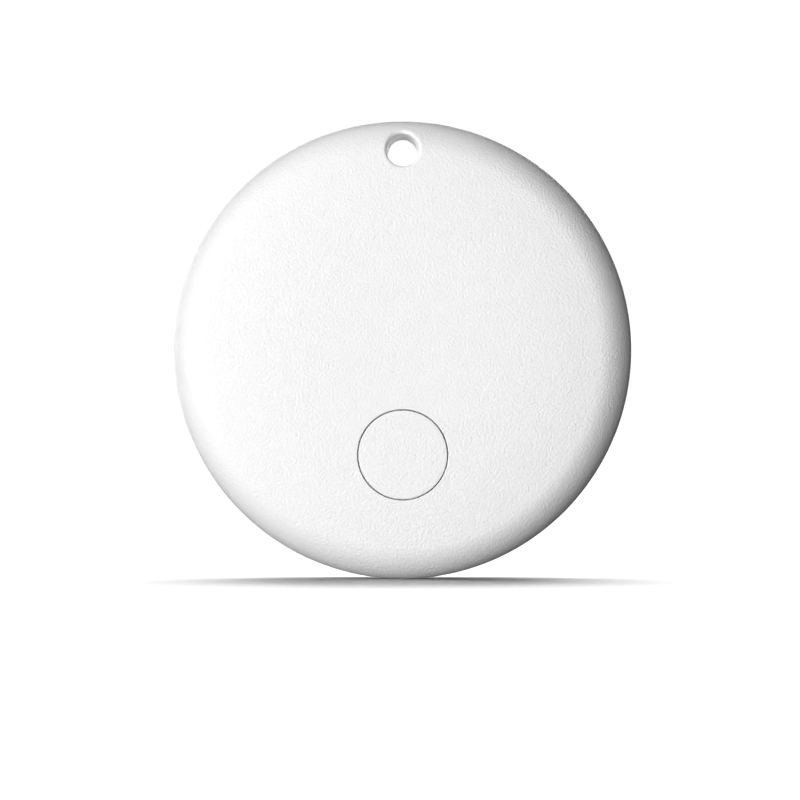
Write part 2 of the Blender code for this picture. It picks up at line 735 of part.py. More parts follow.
def tact_switch():
    """The low switch under the button: base, snap dome, stem and sheet-metal cover."""
    floor = BOARD_FRONT + SOLDER
    side = SWITCH_SIDE
    base_mesh = block_mesh("switch_base", (side, side, SWITCH_BASE), floor)
    base = add_part("switch_base", base_mesh, switch_plastic())
    pocket = cylinder_mesh("switch_pocket", SWITCH_POCKET_RADIUS, floor + SWITCH_FLOOR, CASE_THICKNESS)
    cut(base, place(add_tool("switch_pocket", pocket), y=BUTTON_Y))
    dome_mesh = turned_mesh("switch_dome", dish_profile(**SWITCH_DOME), SMALL_ROUND)
    dome = add_part("switch_dome", dome_mesh, spring_steel())
    cover_mesh = block_mesh("switch_cover", (side, side, SWITCH_COVER), SWITCH_COVER_BACK)
    cover = add_part("switch_cover", cover_mesh, tin_plate())
    hole = cylinder_mesh("switch_hole", SWITCH_COVER_HOLE, BOARD_FRONT, CASE_THICKNESS)
    cut(cover, place(add_tool("switch_hole", hole), y=BUTTON_Y))
    stem_mesh = cylinder_mesh("switch_stem", STEM_RADIUS, STEM_BACK, STEM_FRONT)
    stem = add_part("switch_stem", stem_mesh, switch_plastic())
    for piece in (base, dome, cover, stem):
        place(piece, y=BUTTON_Y)


def dish_profile(radius, low, rise, thickness, steps=3):
    """A shallow dome of sheet that stands on height low, as a closed (radius, height) profile."""
    top = [(radius * i / steps, low + rise * (1 - (i / steps) ** 2)) for i in range(steps + 1)]
    return [(r, z + thickness) for r, z in top] + top[::-1]


# ======== Buzzer ========
def buzzer():
    """A piezo disc bonded to a ring inside the front shell, with two spring contacts."""
    plate_low = BUZZER_PLATE_TOP - BUZZER_PLATE
    ceramic_top = plate_low - TOUCH
    ceramic_low = ceramic_top - BUZZER_CERAMIC
    ring = [
        (BUZZER_BOND_OUTER, BUZZER_SEAT - TOUCH),
        (BUZZER_BOND_OUTER, BUZZER_PLATE_TOP + TOUCH),
        (BUZZER_BOND_INNER, BUZZER_PLATE_TOP + TOUCH),
        (BUZZER_BOND_INNER, BUZZER_SEAT - TOUCH),
    ]
    bond = add_part("buzzer_adhesive", turned_mesh("buzzer_adhesive", ring, CELL_ROUND), tape())
    plate_mesh = cylinder_mesh("buzzer_plate", BUZZER_RADIUS, plate_low, BUZZER_PLATE_TOP, RING_ROUND)
    plate = add_part("buzzer_plate", plate_mesh, brass_plate())
    disc_mesh = cylinder_mesh(
        "buzzer_ceramic", BUZZER_CERAMIC_RADIUS, ceramic_low, ceramic_top, CELL_ROUND
    )
    disc = add_part("buzzer_ceramic", disc_mesh, ceramic())
    for piece in (bond, plate, disc):
        place(piece, y=BUZZER_Y)
    outer = spring_finger("buzzer_contact_plate", plate_low)
    place(outer, x=PLATE_FINGER_X, y=BUZZER_Y, turn=90)
    inner = spring_finger("buzzer_contact_ceramic", ceramic_low)
    place(inner, x=CERAMIC_FINGER_X, y=BUZZER_Y)


def spring_finger(name, reach):
    """A C-shaped sheet spring that stands on the board and ends just under height reach."""
    foot = BOARD_FRONT + SOLDER + FINGER_SHEET / 2
    top = reach - SOLDER - FINGER_SHEET / 2
    bend = (top - foot) / 2
    path = [(-FINGER_REACH, foot), (FINGER_BEND, foot)]
    for step in range(1, 6):
        turn = math.radians(-90 + 30 * step)
        path.append((FINGER_BEND + bend * math.cos(turn), foot + bend + bend * math.sin(turn)))
    path += [(x, top - drop) for x, drop in FINGER_TIP]
    return ribbon(name, path, FINGER_WIDTH, FINGER_SHEET, gold_plate())


# ======== Circuit board ========
def screw_places():
    return [(x, y) for y in (SCREW_Y, -SCREW_Y) for x in (SCREW_X, -SCREW_X)]


def circuit_board():
    mesh = cylinder_mesh("circuit_board", BOARD_RADIUS, BOARD_BACK, BOARD_FRONT, ROUND)
    board = add_part("circuit_board", mesh, board_laminate())
    through = (BOARD_BACK - MM, BOARD_FRONT + MM)
    notch = cylinder_mesh("board_notch", HOLE_TUBE_RADIUS + TUBE_CLEARANCE, *through, 32)
    cut(board, place(add_tool("board_notch", notch), y=HOLE_Y))
    for number, (x, y) in enumerate(screw_places(), 1):
        hole = cylinder_mesh("board_hole", SCREW_RADIUS + BOARD_HOLE_CLEARANCE, *through)
        cut(board, place(add_tool(f"board_hole_{number}", hole), x, y))
    return board


def board_screws():
    """Four small screws, heads on the board's back, in the front shell's bosses."""
    head_front = BOARD_BACK - SOLDER
    head_back = head_front - SCREW_HEAD
    profile = [
        (0.0, SCREW_TIP),
        (SCREW_TIP_RADIUS, SCREW_TIP),
        (SCREW_RADIUS, SCREW_TAPER),
        (SCREW_RADIUS, head_front),
        (SCREW_HEAD_RADIUS, head_front),
        (SCREW_HEAD_RADIUS, head_back + SCREW_HEAD_EDGE),
        (SCREW_HEAD_FLAT * SCREW_HEAD_RADIUS, head_back),
        (0.0, head_back),
    ]
    for number, (x, y) in enumerate(screw_places(), 1):
        name = f"board_screw_{number}"
        screw = add_part(name, turned_mesh(name, profile, 16), spring_steel())
        place(screw, x, y)
        for arm, turn in enumerate((0, 90)):
            slot = block_mesh("slot", SCREW_SLOT, head_back - SCREW_SLOT_DEPTH)
            cut(screw, place(add_tool(f"{name}_slot_{arm}", slot), x, y, turn=turn))


def chip(name, size, x, y, finish, turn=0.0, bevel=CHIP_EDGE):
    """A surface-mount part on the board's front: size in millimetres, with softened edges."""
    size = [side * MM for side in size]
    part = add_part(name, block_mesh(name, size, BOARD_FRONT + SOLDER), finish)
    if bevel:
        soften(part, bevel * MM)
    return place(part, x * MM, y * MM, turn=turn)


def electronics():
    """The parts soldered to the board's front, laid out clear of the buzzer and the button."""
    for name, size, x, y, turn in CHIPS:
        chip(name, size, x, y, chip_resin(), turn)
    for name, size, x, y, turn in CRYSTALS:
        chip(name, size, x, y, tin_plate(), turn)
    for number, (x, y, turn) in enumerate(CAPACITORS, 1):
        chip(f"capacitor_{number}", CAPACITOR, x, y, capacitor_ceramic(), turn)
    for number, (x, y, turn) in enumerate(RESISTORS, 1):
        chip(f"resistor_{number}", RESISTOR, x, y, chip_resin(), turn, bevel=0.0)
    inductor()
    antenna()


def inductor():
    """The step-up coil that drives the buzzer: a drum core with its winding."""
    low = BOARD_FRONT + SOLDER
    high = low + COIL_HEIGHT
    core = [
        (0.0, high),
        (COIL_FLANGE_RADIUS, high),
        (COIL_FLANGE_RADIUS, high - COIL_FLANGE),
        (COIL_DRUM_RADIUS, high - COIL_FLANGE),
        (COIL_DRUM_RADIUS, low + COIL_FLANGE),
        (COIL_FLANGE_RADIUS, low + COIL_FLANGE),
        (COIL_FLANGE_RADIUS, low),
        (0.0, low),
    ]
    margin = COIL_FLANGE + WINDING_GAP
    winding = [
        (WINDING_RADIUS, high - margin),
        (WINDING_RADIUS, low + margin),
        (COIL_DRUM_RADIUS + WINDING_GAP, low + margin),
        (COIL_DRUM_RADIUS + WINDING_GAP, high - margin),
    ]
    for name, profile, finish in (
        ("inductor_core", core, chip_resin()),
        ("inductor_coil", winding, copper_wire()),
    ):
        place(add_part(name, turned_mesh(name, profile, SMALL_ROUND), finish), COIL_X, COIL_Y)


def antenna():
    """The copper antenna strip that follows the board's lower left edge, with its feed."""
    heights = dict(low=BOARD_FRONT + TRACE_BACK, high=BOARD_FRONT + TRACE_FRONT)
    mesh = arc_block_mesh("antenna_trace", **TRACE, **heights)
    strip = add_part("antenna_trace", mesh, copper_wire())
    join(strip, add_tool("antenna_feed", arc_block_mesh("antenna_feed", **TRACE_FEED, **heights)))


def bulk_capacitor():
    """The reservoir capacitor on the board's back, beside the cell guide."""
    mesh = block_mesh("bulk_capacitor", RESERVOIR, BOARD_BACK - SOLDER - RESERVOIR[2])
    part = add_part("bulk_capacitor", mesh, capacitor_ceramic())
    soften(part, CHIP_EDGE * MM)
    place(part, x=RESERVOIR_X, y=RESERVOIR_Y)


# ======== Battery and its contacts ========
def cell_profile(table):
    """A table of insets and heights as (radius, height)."""
    return [
        (CELL_RADIUS - inset, height + (CELL_TOP if height < 0 else CELL_BOTTOM))
        for inset, height in table
    ]


def coin_cell():
    """The replaceable cell: can, sealing ring, cap, and what they hold."""
    can = cell_profile(CAN)
    can = [(0.0, CELL_BOTTOM)] + can + [(0.0, can[-1][1])]
    cap = [(0.0, CELL_TOP), (CELL_RADIUS - CAP_FLAT_INSET, CELL_TOP)]
    cap += cell_profile(CAP) + [(0.0, CELL_TOP - CAP_SHEET)]
    for name, profile, finish in (
        ("cell_can", can, spring_steel()),
        ("cell_gasket", cell_profile(GASKET), seal_rubber()),
        ("cell_cap", cap, spring_steel()),
    ):
        add_part(name, turned_mesh(name, profile, CELL_ROUND), finish)
    for (name, radius, start, end), finish in zip(CELL_LAYERS, (cell_mass(), tape(), tin_plate())):
        mesh = cylinder_mesh(name, radius, CELL_BOTTOM + start, CELL_BOTTOM + end, CELL_ROUND)
        add_part(name, mesh, finish)


def battery_contacts():
    """The leaf under the cell's cap, and the leaf against the side of its can."""
    foot = BOARD_BACK - SOLDER - LEAF_SHEET / 2
    tip = CELL_TOP + LEAF_GAP + LEAF_SHEET / 2
    leaf = [(x, foot + z) for x, z in NEGATIVE_FOOT] + [(x, tip + z) for x, z in NEGATIVE_TIP]
    ribbon("negative_contact", leaf, NEGATIVE_WIDTH, LEAF_SHEET, gold_plate())
    touch = CELL_RADIUS + SIDE_GAP + LEAF_SHEET / 2
    side = [(x, foot + z) for x, z in POSITIVE_FOOT]
    side += [(-touch, z) for z in POSITIVE_TOUCH] + [POSITIVE_TIP]
    ribbon("positive_contact", side, POSITIVE_WIDTH, LEAF_SHEET, gold_plate())


# ======== Battery door ========
def battery_door():
    """The round cover with a coin slot, a skirt, and three helical lugs that pull it shut."""
    profile = [
        (0.0, DOOR_FACE),
        (DOOR_RADIUS - DOOR_CHAMFER, DOOR_FACE),
        (DOOR_RADIUS, DOOR_FACE + DOOR_CHAMFER),
        (DOOR_RADIUS, DOOR_INSIDE),
        (DOOR_SHOULDER_RADIUS, DOOR_INSIDE),
        (DOOR_SHOULDER_RADIUS, DOOR_SHOULDER),
        (SKIRT_OUTER, DOOR_SHOULDER),
        (SKIRT_OUTER, SKIRT_END),
        (SKIRT_INNER, SKIRT_END),
        (SKIRT_INNER, DOOR_INSIDE),
        (0.0, DOOR_INSIDE),
    ]
    door = add_part("battery_door", turned_mesh("battery_door", profile), shell_plastic())
    lugs = arc_block_mesh(
        "bayonet_lugs",
        SKIRT_OUTER - LUG_ROOT,
        LUG_RADIUS,
        lambda offset: LUG_BACK + HELIX_RISE * offset,
        SKIRT_END,
        FIRST_BAYONET,
        LUG_ANGLE,
        count=BAYONETS,
    )
    join(door, add_tool("bayonet_lugs", lugs))
    cut_coin_slot(door)
    return door


def cut_coin_slot(door):
    """The slot across the door's middle: a straight block with a round end at each side."""
    straight = SLOT_LENGTH - SLOT_WIDTH
    low, high = DOOR_FACE + SLOT_DEPTH - MM, DOOR_FACE + SLOT_DEPTH
    cut(door, add_tool("coin_slot", block_mesh("coin_slot", (straight, SLOT_WIDTH, MM), low)))
    for side in (-1, 1):
        end = cylinder_mesh("slot_end", SLOT_WIDTH / 2, low, high, 16)
        cut(door, place(add_tool(f"coin_slot_end_{side + 2}", end), x=side * straight / 2))


def door_seal():
    """The O-ring round the door's shoulder, which lies on the shelf of the rear shell."""
    radius = SEAL_THICKNESS / 2
    middle = DOOR_INSIDE + TOUCH + radius
    turns = [2 * math.pi * step / 8 for step in range(8)]
    profile = [(SEAL_RADIUS + radius * math.cos(t), middle + radius * math.sin(t)) for t in turns]
    add_part("door_seal", turned_mesh("door_seal", profile), seal_rubber())


def stand_up():
    """The empty that turns the drawing frame into the tag's hanging pose."""
    made = bpy.data.objects.new("tag_frame", None)
    parts.objects.link(made)
    made.location = Vector((0, CASE_THICKNESS / 2, -HOLE_Y))
    made.rotation_euler = (math.radians(90), 0, 0)
    return made


clear_scene()
parts = new_collection("bluetooth_tracker_tag")
cutters = new_collection("cutters")
frame = stand_up()
front_shell()
rear_shell()
button_cap()
tact_switch()
buzzer()
circuit_board()
board_screws()
electronics()
bulk_capacitor()
coin_cell()
battery_contacts()
battery_door()
door_seal()
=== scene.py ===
"""Bluetooth tracker tag: the detailed case, button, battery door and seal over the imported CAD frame.

Shapes are drawn in the tag's own drawing frame, as it lies on its back: X right, Y up towards the keyring
hole, Z from the back face (0) to the crown of the front face. STAND_UP turns that into the row frame.
"""

import json
import math
from bisect import bisect_left

import bmesh
import bpy
from mathutils import Matrix, Vector
from mathutils.geometry import delaunay_2d_cdt


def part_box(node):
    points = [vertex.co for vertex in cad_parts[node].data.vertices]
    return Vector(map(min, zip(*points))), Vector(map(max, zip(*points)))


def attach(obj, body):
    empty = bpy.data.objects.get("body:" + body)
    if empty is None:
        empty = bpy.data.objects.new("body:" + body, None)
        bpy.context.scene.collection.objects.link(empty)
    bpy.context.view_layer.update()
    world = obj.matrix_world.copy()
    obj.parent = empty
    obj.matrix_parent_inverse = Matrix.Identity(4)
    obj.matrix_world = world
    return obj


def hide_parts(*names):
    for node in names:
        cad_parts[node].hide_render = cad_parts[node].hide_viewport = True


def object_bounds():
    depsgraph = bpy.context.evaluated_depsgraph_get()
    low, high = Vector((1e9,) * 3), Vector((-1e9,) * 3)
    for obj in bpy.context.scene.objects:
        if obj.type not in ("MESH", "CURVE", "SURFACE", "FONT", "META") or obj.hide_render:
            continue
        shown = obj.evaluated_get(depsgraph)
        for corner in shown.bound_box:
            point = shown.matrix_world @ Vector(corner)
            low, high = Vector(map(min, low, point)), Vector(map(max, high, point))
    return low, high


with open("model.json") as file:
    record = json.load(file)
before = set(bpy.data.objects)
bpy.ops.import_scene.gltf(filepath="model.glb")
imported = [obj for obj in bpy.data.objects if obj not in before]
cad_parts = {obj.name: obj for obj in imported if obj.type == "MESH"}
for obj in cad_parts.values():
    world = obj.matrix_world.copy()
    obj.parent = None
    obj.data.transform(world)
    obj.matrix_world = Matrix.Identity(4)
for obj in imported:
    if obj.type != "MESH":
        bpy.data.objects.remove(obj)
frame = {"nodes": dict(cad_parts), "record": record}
cad_low, cad_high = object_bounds()

MM = 0.001
SEAM_GAP = 0.1 * MM  # between the shells

# ---- Sizes read from the frame ----
case_low, case_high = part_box("front_shell")
back_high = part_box("rear_shell")[1]
RADIUS = (case_high.x - case_low.x) / 2
THICKNESS = back_high.y - case_low.y
CENTRE_Z = (case_high.z + case_low.z) / 2
SEAM = back_high.y - case_high.y - SEAM_GAP / 2  # height of the middle of the gap
HOLE_Y = -CENTRE_Z  # the row's origin is the middle of the keyring hole
STAND_UP = Matrix.Translation((0, back_high.y, CENTRE_Z)) @ Matrix.Rotation(math.pi / 2, 4, "X")
button_low, button_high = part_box("button_cap")
BUTTON_Y = (button_low.z + button_high.z) / 2 - CENTRE_Z
BUTTON_FLANGE = (button_high.x - button_low.x) / 2
BUTTON_BOTTOM = back_high.y - button_high.y
door_low, door_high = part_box("battery_door")
DOOR_RADIUS = (door_high.x - door_low.x) / 2
DOOR_FACE = back_high.y - door_high.y
seal_low, seal_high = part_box("door_seal")

# ---- Outline of the case ----
DOME_DROP = 0.65 * MM  # how far the face falls from its crown to where the edge begins
DOME_POWER = 4.0  # the fall grows with this power of the radius
EDGE_INSET = 2.8 * MM  # radial width of the rounded edge
EDGE_HANDLES = 0.55, 0.45  # fullness of the edge's curve at the dome and at the equator
EQUATOR = 4.2 * MM  # height of the widest circle
BACK_FLAT = 16.4 * MM  # radius of the flat back
SKIN = 0.6 * MM  # thickness of the shells' skins
DOME_STEPS = 80
EDGE_STEPS = 120
CURL_STEPS = 12  # from the equator to the seam

# ---- Openings ----
HOLE_RADIUS = 1.43 * MM
HOLE_DRAFT = 0.13 * MM  # how much the front half of the keyring hole closes in
HOLE_LIP = 0.25 * MM
HOLE_STEPS = 96
BUTTON_RADIUS = 3.83 * MM
BUTTON_GAP = 0.11 * MM
BUTTON_SEAT = 6.8 * MM  # height of the seat that stops the button's flange
BUTTON_FLANGE_TOP = 6.72 * MM
BUTTON_STEPS = 160
BUTTON_RINGS = 12
FINE_LIP = 0.03 * MM
MOUTH_ROWS = 0.1 * MM, 0.25 * MM  # rows of points kept round an opening's mouth
WALL_SHARES = 0.5, 1.0

# ---- Battery bay and door ----
RECESS_RADIUS = 13.05 * MM
RIM_LIP = 0.12 * MM
SHELF = 1.45 * MM  # height of the shelf that the seal lies on
CHANNEL_RADIUS = 12.0 * MM
BAY_RADIUS = 13.3 * MM
BAY_TOP = 3.75 * MM
GUIDE_START = 2.95 * MM
GUIDE_END = 4.68 * MM
GUIDE_FLOOR = 4.5 * MM
GUIDE_STOP_RADIUS = 9.3 * MM
GUIDE_INNER = 10.3 * MM
GUIDE_OUTER = 11.2 * MM
SMALL_CHAMFER = 0.05 * MM
DOOR_INSIDE = 0.9 * MM
DOOR_SHOULDER = 1.15 * MM
DOOR_SHOULDER_RADIUS = 12.05 * MM
SKIRT_INNER = 10.35 * MM
SKIRT_OUTER = 11.1 * MM
SKIRT_END = 2.8 * MM
SKIRT_CHAMFER = 0.08 * MM
SLOT = 9.0 * MM, 1.6 * MM  # length and width
SLOT_DEPTH = 0.45 * MM
BAYONETS = 3
FIRST_BAYONET = 30.0
HELIX_RISE = 2.85 * MM / 90  # for each degree
LEDGE = dict(inner=11.25 * MM, outer=12.2 * MM, low=1.47 * MM, angle=14.0)
LEDGE_TOP = 2.2 * MM  # height of a ledge's helical face at its middle
LUG = dict(inner=10.9 * MM, outer=11.85 * MM, high=SKIRT_END, angle=12.0)
LUG_BACK = 2.25 * MM  # height of a lug's helical face at its middle

# ---- Meshes ----
SEGMENTS = 256  # round a circle about the tag's axis
SKIN_SPACING = 0.55 * MM  # between the rows of points on a skin
EDGE_SPACING = 0.22 * MM
REAR_SPACING = 0.4 * MM
REAR_START = 10 * MM  # radius of the rear skin's inner circle when it is laid flat
DOOR_SPACING = 0.6 * MM
DOOR_EDGE_SPACING = 0.05 * MM
SEAL_STEPS = 20
WELD = 1e-7

# ---- Moulded surface ----
WHITE = 0.86, 0.86, 0.86
WHITE_ROUGHNESS = 0.42, 0.58
GRAIN_SIZE = 0.2 * MM
GRAIN_DEPTH = 0.06 * MM
RIPPLE_SIZE = 1.1 * MM
RIPPLE_DEPTH = 0.02 * MM
RIPPLE_STRENGTH = 0.12
RIPPLE_HOLLOW_SHADE = 0.985  # painted shade in the ripple's hollows: their colour as a share of the plain colour

# ---- Stage ----
FLOOR_RADIUS = 1.2
BACKDROP_RADIUS = 1.3
BACKDROP_GLOW = 1.05
FLOOR_COLOUR = 0.9, 0.9, 0.9

# ---- Lights ----
BOX_SIZE = 0.4  # metres, like the sizes of the other lights
BOX_DISTANCE = 0.8
SOFT_BOXES = (  # name, azimuth and elevation in degrees, power
    ("key", -30, 0, 3.78),
    ("front_fill", 0, 0, 2.08),
    ("left_fill", -60, 0, 1.74),
    ("high_key", -30, 35, 0.8),
    ("high_left", -60, 35, 0.6),
    ("behind_left", -150, 5, 1.6),
    ("behind_right", 120, 0, 0.25),
    ("behind", 180, 10, 2.2),
    ("behind_low", 180, -8, 0.4),
    ("top", 180, 65, 1.0),
)
AMBIENT = 0.005
STRIP_HEIGHT = 3.0  # above the floor
STRIP_BEHIND = 0.84
STRIP_SIZE = 3.6, 0.9
STRIP_POWER = 80
HAZE = 2.8
HAZE_SPREAD = 90
HAZE_TILT = -30

# ---- Camera ----
CAMERA_DISTANCE = 280.2 * MM
CAMERA_DROP = 4.36 * MM  # below the tag's centre
CAMERA_LEFT = 0.233 * MM
LENS = 144
SENSOR = 36


# ======== Outline ========
def bezier(start, out_of_start, into_end, end, steps):
    """Points on a cubic curve, without its first point."""
    points = []
    for step in range(1, steps + 1):
        t = step / steps
        weights = ((1 - t) ** 3, 3 * t * (1 - t) ** 2, 3 * t * t * (1 - t), t**3)
        corners = (start, out_of_start, into_end, end)
        points.append(tuple(sum(w * p[k] for w, p in zip(weights, corners)) for k in (0, 1)))
    return points


def front_outline():
    """The front face from the crown to the equator, as (radius, height)."""
    edge = RADIUS - EDGE_INSET
    shares = (i / DOME_STEPS for i in range(DOME_STEPS + 1))
    dome = [(edge * share, THICKNESS - DOME_DROP * share**DOME_POWER) for share in shares]
    slope = -DOME_POWER * DOME_DROP / edge
    width, height = RADIUS - edge, dome[-1][1] - EQUATOR
    return dome + bezier(
        dome[-1],
        (edge + EDGE_HANDLES[0] * width, dome[-1][1] + slope * EDGE_HANDLES[0] * width),
        (RADIUS, EQUATOR + EDGE_HANDLES[1] * height),
        (RADIUS, EQUATOR),
        EDGE_STEPS,
    )


def rear_outline(low, high, steps):
    """The rounded edge of the back, an ellipse, from one height to another, as (radius, height)."""
    first, last = (math.acos(1 - height / EQUATOR) for height in (low, high))
    width = RADIUS - BACK_FLAT
    turns = (first + (last - first) * step / steps for step in range(steps + 1))
    return [(BACK_FLAT + width * math.sin(t), EQUATOR * (1 - math.cos(t))) for t in turns]


def quarter(radius, height, across, along, steps=6):
    """A quarter circle round (radius, height) that starts level with it and ends above or below it."""
    turns = (math.pi / 2 * i / steps for i in range(steps + 1))
    return [(radius + across * math.cos(t), height + along * math.sin(t)) for t in turns]


def circle(radius, count=SEGMENTS, shift=0.0):
    """Points round the origin; shift turns them by a share of their spacing."""
    turns = (2 * math.pi * (i + shift) / count for i in range(count))
    return [(radius * math.cos(t), radius * math.sin(t)) for t in turns]


class Outline:
    """A profile that is read by arc length or, where its radius grows, by radius."""

    def __init__(self, points):
        self.points = points
        self.arcs = [0.0]
        for (r0, z0), (r1, z1) in zip(points, points[1:]):
            self.arcs.append(self.arcs[-1] + math.hypot(r1 - r0, z1 - z0))
        self.length = self.arcs[-1]

    def at(self, arc):
        i = min(max(bisect_left(self.arcs, arc), 1), len(self.arcs) - 1)
        share = (arc - self.arcs[i - 1]) / (self.arcs[i] - self.arcs[i - 1])
        (r0, z0), (r1, z1) = self.points[i - 1], self.points[i]
        return r0 + (r1 - r0) * share, z0 + (z1 - z0) * share

    def arc_of(self, radius):
        for i in range(1, len(self.points)):
            r0, r1 = self.points[i - 1][0], self.points[i][0]
            if r0 <= radius <= r1 and r1 > r0:
                share = (radius - r0) / (r1 - r0)
                return self.arcs[i - 1] + share * (self.arcs[i] - self.arcs[i - 1])
        raise ValueError("the radius is outside the outline")

    def height(self, radius):
        return self.at(self.arc_of(radius))[1]


# ======== Openings in a skin ========
class Opening:
    """A hole in a skin: a lip that rolls from the skin into a wall, and a floor or none.
    plan(grow) gives the wall's points, moved outwards by grow, and inside is 1 where the wall goes
    to lower heights and -1 where it goes up. By its end the wall has closed in by draft."""

    def __init__(self, outline, plan, lip, end, draft=0.0, inside=1, floor=False, rows=8):
        self.end = end
        self.floor = floor
        self.walls = [plan(-draft * share) for share in WALL_SHARES]
        self.rings = [[] for _ in range(rows + 1)]
        self.away = []
        for wall, out in zip(plan(0), plan(lip)):
            away = (Vector(out) - Vector(wall)) / lip
            self.away.append(away)
            for ring, (rho, z) in zip(self.rings, rolled(outline, Vector(wall), away, lip, inside, rows)):
                x, y = Vector(wall) + away * rho
                ring.append((x, y, z))

    def mouth(self, extra=0.0):
        return [Vector(p[:2]) + away * extra for p, away in zip(self.rings[0], self.away)]


def rolled(outline, wall, away, lip, inside, rows):
    """The lip's (distance from the wall, height) where a ball of radius lip touches skin and wall."""

    def skin(rho):
        return inside * outline.height((wall + away * rho).length)

    step, tilt = 0.02 * MM, 0.0
    for _ in range(16):
        rho = lip * (1 + math.sin(tilt))
        slope = (skin(rho + step) - skin(rho - step)) / (2 * step)
        tilt = (tilt - math.atan(slope)) / 2
    centre = skin(rho) - lip * math.cos(tilt)
    points = []
    for row in range(rows + 1):
        turn = tilt + (-math.pi / 2 - tilt) * row / rows
        points.append((lip * (1 + math.sin(turn)), inside * (centre + lip * math.cos(turn))))
    return points


def circle_at(y, radius, count):
    def plan(grow):
        return [(across, y + up) for across, up in circle(radius + grow, count)]

    return plan


def stadium(length, width, count):
    """A slot with round ends along X, count points round each end."""

    def plan(grow):
        rho, half = width / 2 + grow, (length - width) / 2
        points = []
        for side in (1, -1):
            for i in range(count + 1):
                turn = math.pi * (i / count - 0.5) + (0 if side > 0 else math.pi)
                points.append((side * half + rho * math.cos(turn), rho * math.sin(turn)))
        return points

    return plan


# ======== Skins ========
class FlatSkin:
    """A surface of revolution laid flat, where a point's distance from the middle is start plus its
    arc length along the outline. It is triangulated there and then wrapped onto the outline."""

    def __init__(self, outline, start):
        self.outline = outline
        self.start = start
        self.points = []
        self.limits = []

    def flat(self, point):
        r = math.hypot(*point)
        return Vector(point) * ((self.start + self.outline.arc_of(r)) / r)

    def lifted(self, point):
        d = math.hypot(*point)
        if d == 0:
            return Vector((0, 0, self.outline.at(0)[1]))
        r, z = self.outline.at(min(max(d - self.start, 0.0), self.outline.length))
        return Vector((point[0] * r / d, point[1] * r / d, z))

    def add_loop(self, loop):
        """Adds a closed loop of edges that the triangles have to keep, and returns its indices."""
        first = len(self.points)
        self.points.extend(loop)
        self.limits.extend((first + i, first + (i + 1) % len(loop)) for i in range(len(loop)))
        return list(range(first, first + len(loop)))

    def add_mouth_rows(self, opening, spacing):
        """Adds rows round an opening's mouth, and returns the loop that other rows stay out of."""
        for extra in MOUTH_ROWS:
            self.points.extend(tuple(self.flat(p)) for p in opening.mouth(extra))
        return [self.flat(p) for p in opening.mouth(MOUTH_ROWS[-1] + 0.4 * spacing)]

    def rows(self, spacing, edge_spacing, edge):
        """Circles of points over the whole skin, nearer to each other past the arc length edge."""
        arc, row = (0.5 * spacing if self.start else 0.0), 0
        while arc < self.outline.length - 0.6 * edge_spacing:
            radius = self.start + arc
            count = max(8, round(2 * math.pi * radius / spacing))
            yield from circle(radius, count, 0.5 * (row % 2)) if arc else [(0.0, 0.0)]
            arc += spacing if arc < edge - spacing else edge_spacing
            row += 1

    def is_open(self, point, holes):
        """Whether a flat point is inside the skin's inner circle or in an opening."""
        if self.start and point.length < self.start * math.cos(math.pi / SEGMENTS):
            return True
        return any(inside_polygon(point, hole) for hole in holes)

    def wrapped(self, openings, mouths):
        """The skin's bmesh, with a lip and a wall at each opening."""
        flat_points = [Vector(p) for p in self.points]
        verts, _, faces, origins, _, _ = delaunay_2d_cdt(flat_points, self.limits, [], 0, 1e-9)
        found = {source: index for index, sources in enumerate(origins) for source in sources}
        bm = bmesh.new()
        made = [bm.verts.new(self.lifted(v)) for v in verts]
        holes = [[flat_points[i] for i in mouth] for mouth in mouths]
        for face in faces:
            middle = sum((verts[i] for i in face), Vector((0, 0))) / len(face)
            if not self.is_open(middle, holes):
                bm.faces.new([made[i] for i in face])
        for opening, mouth in zip(openings, mouths):
            sink_opening(bm, opening, [made[found[i]] for i in mouth])
        loose = [v for v in bm.verts if not v.link_faces]
        bmesh.ops.delete(bm, geom=loose, context="VERTS")
        return bm


def skin_mesh(outline, openings, start=0.0, spacing=SKIN_SPACING, edge_spacing=EDGE_SPACING, edge=None):
    """A surface of revolution with openings. Past the arc length edge, its rows are nearer."""
    skin = FlatSkin(outline, start)
    skin.add_loop(circle(start + outline.length))
    if start:
        skin.add_loop(circle(start))
    mouths = [skin.add_loop([tuple(skin.flat(p)) for p in o.mouth()]) for o in openings]
    clear = [skin.add_mouth_rows(opening, spacing) for opening in openings]
    for point in skin.rows(spacing, edge_spacing, edge or outline.length):
        if not any(inside_polygon(Vector(point), loop) for loop in clear):
            skin.points.append(point)
    return skin.wrapped(openings, mouths)


def inside_polygon(point, polygon):
    inside = False
    for a, b in zip(polygon, polygon[1:] + polygon[:1]):
        if (a.y > point.y) != (b.y > point.y):
            if point.x < a.x + (point.y - a.y) * (b.x - a.x) / (b.y - a.y):
                inside = not inside
    return inside


def sink_opening(bm, opening, mouth):
    """The lip and wall of an opening, from its mouth's vertices on the skin."""
    rings = [mouth] + [[bm.verts.new(p) for p in ring] for ring in opening.rings[1:]]
    lip_ends = [p[2] for p in opening.rings[-1]]
    for share, wall in zip(WALL_SHARES, opening.walls):
        heights = [z + (opening.end - z) * share for z in lip_ends]
        rings.append([bm.verts.new((x, y, z)) for (x, y), z in zip(wall, heights)])
    for before, after in zip(rings, rings[1:]):
        bridge(bm, before, after)
    if opening.floor:
        bm.faces.new(rings[-1])


def bridge(bm, before, after):
    for i in range(len(before)):
        j = (i + 1) % len(before)
        bm.faces.new((before[i], before[j], after[j], after[i]))


